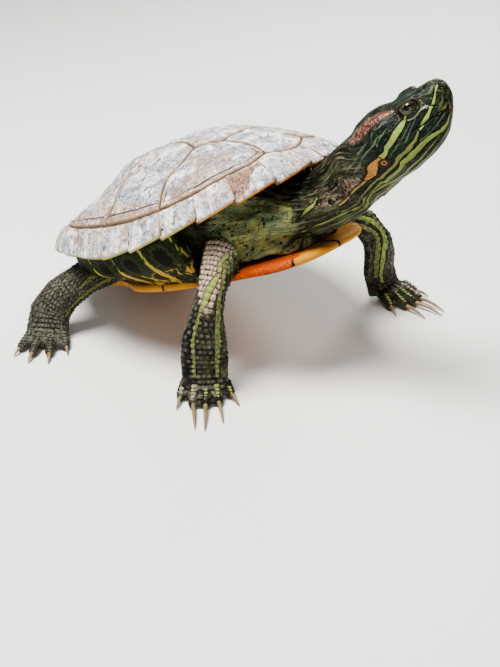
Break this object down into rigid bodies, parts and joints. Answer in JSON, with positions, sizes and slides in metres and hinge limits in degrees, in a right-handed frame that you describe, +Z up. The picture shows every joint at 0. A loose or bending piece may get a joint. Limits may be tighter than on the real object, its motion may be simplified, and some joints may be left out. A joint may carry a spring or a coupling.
{
  "type": "red-eared slider turtle",
  "caption": "Life-size still model of an adult male red-eared slider turtle, standing on all feet with its neck stretched up and its head turned to its left.",
  "frame": {"origin": "middle of the box round the whole turtle, on the floor that it stands on", "axes": "+X the way the shell faces, +Y to the turtle's left, +Z up"},
  "size_m": [0.2418, 0.214, 0.1665],
  "materials": {
    "shell": "dry weathered horn, satin",
    "plastron": "satin horn",
    "bridge": "satin horn",
    "skin": "fine scaly skin, slightly shiny",
    "eye": "wet gloss",
    "claw": "polished horn"
  },
  "bodies": {
    "root": {"carapace": "shell", "plastron": "plastron", "bridge_left": "bridge", "bridge_right": "bridge", "trunk": "skin", "neck": "skin", "tail": "skin", "eye_left": "eye", "eye_right": "eye", "head": "skin", "lower_jaw": "skin", "leg_front_right_upper": "skin", "leg_front_right_lower": "skin", "foot_front_right": "skin", "claw_front_right_1": "claw", "claw_front_right_2": "claw", "claw_front_right_3": "claw", "claw_front_right_4": "claw", "claw_front_right_5": "claw", "leg_front_left_upper": "skin", "leg_front_left_lower": "skin", "foot_front_left": "skin", "claw_front_left_1": "claw", "claw_front_left_2": "claw", "claw_front_left_3": "claw", "claw_front_left_4": "claw", "claw_front_left_5": "claw", "leg_hind_right_upper": "skin", "leg_hind_right_lower": "skin", "foot_hind_right": "skin", "claw_hind_right_1": "claw", "claw_hind_right_2": "claw", "claw_hind_right_3": "claw", "claw_hind_right_4": "claw", "leg_hind_left_upper": "skin", "leg_hind_left_lower": "skin", "foot_hind_left": "skin", "claw_hind_left_1": "claw", "claw_hind_left_2": "claw", "claw_hind_left_3": "claw", "claw_hind_left_4": "claw"}
  },
  "joints": []
}
